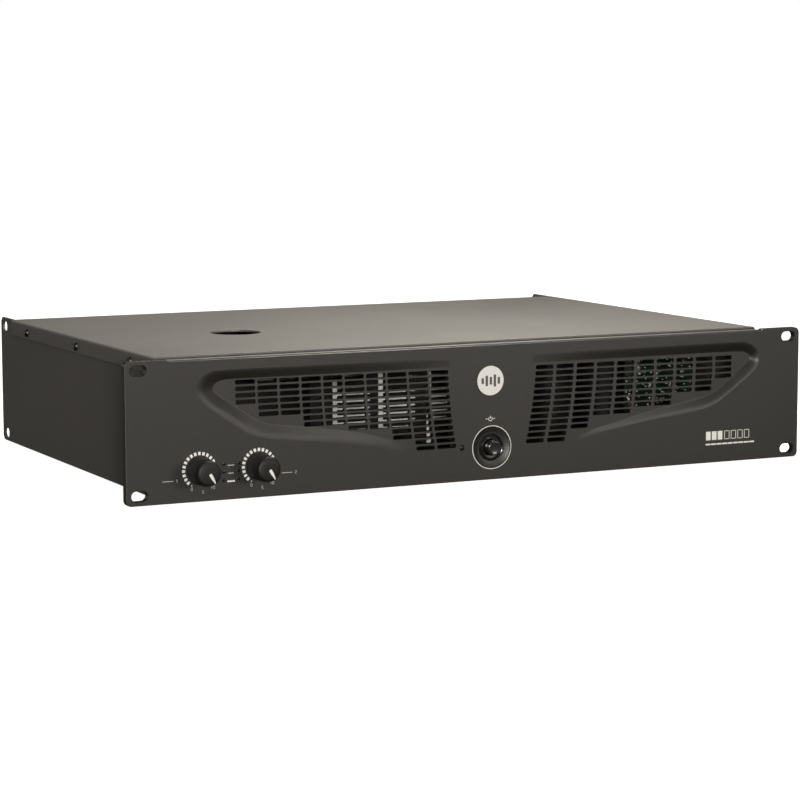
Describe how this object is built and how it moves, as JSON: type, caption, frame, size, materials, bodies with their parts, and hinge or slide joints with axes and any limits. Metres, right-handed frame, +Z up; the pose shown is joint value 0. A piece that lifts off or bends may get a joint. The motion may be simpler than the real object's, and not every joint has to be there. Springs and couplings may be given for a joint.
{
  "type": "power amplifier",
  "caption": "Rack-mounted stereo power amplifier: low steel case with eared front panel, wing-shaped vents, two gain knobs, round power button, transformer, heat-sink tunnel and rear fan",
  "frame": {"origin": "middle of the bounding box seen from above, at the height of the front panel's lower edge", "axes": "+X to the right seen from the front, +Y from the front panel to the rear, +Z up; the front panel faces -Y"},
  "size_m": [0.4826, 0.3434, 0.088],
  "materials": {
    "powder_coat": "fine-textured charcoal powder coat",
    "cover_paint": "fine-textured charcoal powder coat",
    "zinc_sheet": "zinc-plated sheet",
    "black_plastic": "fine-grained black moulding",
    "gloss_black": "glossy black moulding",
    "white_print": "white lacquered disc",
    "raw_aluminium": "extruded",
    "steel": "nickel-plated",
    "black_screw": "blackened steel",
    "winding_tape": "polyester tape over copper winding",
    "board_green": "circuit board with parts",
    "capacitor_sleeve": "shrink sleeve",
    "light_lens": "clear moulding",
    "red_plastic": "gloss red",
    "clear_red": "red moulding"
  },
  "bodies": {
    "chassis": {"badge": "white_print", "base_pan": "powder_coat", "breaker": "black_plastic", "capacitor_1": "capacitor_sleeve", "capacitor_2": "capacitor_sleeve", "control_board": "board_green", "fan_frame": "black_plastic", "fan_guard": "steel", "front_panel": "powder_coat", "front_screw": "black_screw", "gain_pot_1": "steel", "gain_pot_2": "steel", "heat_sink_1": "raw_aluminium", "heat_sink_2": "raw_aluminium", "heat_sink_3": "raw_aluminium", "input_board": "board_green", "input_socket_1": "black_plastic", "input_socket_2": "black_plastic", "light_pipe_1": "light_lens", "light_pipe_2": "light_lens", "mains_inlet": "black_plastic", "mode_switch": "steel", "output_board_1": "board_green", "output_board_2": "board_green", "post_base_1": "black_plastic", "post_base_2": "black_plastic", "power_bezel": "gloss_black", "power_switch": "black_plastic", "rear_panel": "powder_coat", "side_left": "powder_coat", "side_right": "powder_coat", "side_screw_left_1": "black_screw", "side_screw_left_2": "black_screw", "side_screw_left_3": "black_screw", "side_screw_right_1": "black_screw", "side_screw_right_2": "black_screw", "side_screw_right_3": "black_screw", "speaker_socket_1": "black_plastic", "speaker_socket_2": "black_plastic", "subpanel": "zinc_sheet", "supply_board": "board_green", "top_cover": "cover_paint", "transformer": "winding_tape", "transformer_bolt": "steel", "transformer_dish": "zinc_sheet"},
    "gain_1": {"gain_knob_1": "black_plastic", "gain_shaft_1": "steel"},
    "gain_2": {"gain_knob_2": "black_plastic", "gain_shaft_2": "steel"},
    "power_cap": {"power_button": "black_plastic"},
    "fan_wheel": {"fan_rotor": "black_plastic"},
    "breaker_reset": {"breaker_button": "red_plastic"},
    "mode_lever": {"mode_slider": "black_plastic"},
    "latch_1": {"input_latch_1": "steel"},
    "latch_2": {"input_latch_2": "steel"},
    "cap_black_1": {"post_cap_black_1": "black_plastic"},
    "cap_red_1": {"post_cap_red_1": "clear_red"},
    "cap_black_2": {"post_cap_black_2": "black_plastic"},
    "cap_red_2": {"post_cap_red_2": "clear_red"}
  },
  "joints": [
    {"name": "gain_1_turn", "type": "hinge", "parent": "chassis", "child": "gain_1", "pos_m": [-0.1938, -0.15425, 0.0194], "axis": [0, 1, 0], "range_deg": [-300, 0]},
    {"name": "gain_2_turn", "type": "hinge", "parent": "chassis", "child": "gain_2", "pos_m": [-0.1546, -0.15425, 0.0194], "axis": [0, 1, 0], "range_deg": [-300, 0]},
    {"name": "power_push", "type": "slide", "parent": "chassis", "child": "power_cap", "axis": [0, 1, 0], "range_m": [0, 0.003], "stiffness_N_per_m": 300, "springref_m": -0.004},
    {"name": "fan_spin", "type": "hinge", "parent": "chassis", "child": "fan_wheel", "pos_m": [-0.01, 0.12575, 0.0445], "axis": [0, 1, 0], "continuous": true},
    {"name": "breaker_pop", "type": "slide", "parent": "chassis", "child": "breaker_reset", "axis": [0, 1, 0], "range_m": [0, 0.004]},
    {"name": "mode_slide", "type": "slide", "parent": "chassis", "child": "mode_lever", "axis": [1, 0, 0], "range_m": [-0.004, 0.004]},
    {"name": "latch_1_push", "type": "slide", "parent": "chassis", "child": "latch_1", "axis": [0, -1, 0], "range_m": [0, 0.002], "stiffness_N_per_m": 300, "springref_m": -0.003},
    {"name": "latch_2_push", "type": "slide", "parent": "chassis", "child": "latch_2", "axis": [0, -1, 0], "range_m": [0, 0.002], "stiffness_N_per_m": 300, "springref_m": -0.003},
    {"name": "cap_black_1_turn", "type": "hinge", "parent": "chassis", "child": "cap_black_1", "pos_m": [0.064, 0.14425, 0.024], "axis": [0, 1, 0], "range_deg": [0, 720]},
    {"name": "cap_red_1_turn", "type": "hinge", "parent": "chassis", "child": "cap_red_1", "pos_m": [0.083, 0.14425, 0.024], "axis": [0, 1, 0], "range_deg": [0, 720]},
    {"name": "cap_black_2_turn", "type": "hinge", "parent": "chassis", "child": "cap_black_2", "pos_m": [0.064, 0.14425, 0.064], "axis": [0, 1, 0], "range_deg": [0, 720]},
    {"name": "cap_red_2_turn", "type": "hinge", "parent": "chassis", "child": "cap_red_2", "pos_m": [0.083, 0.14425, 0.064], "axis": [0, 1, 0], "range_deg": [0, 720]}
  ]
}
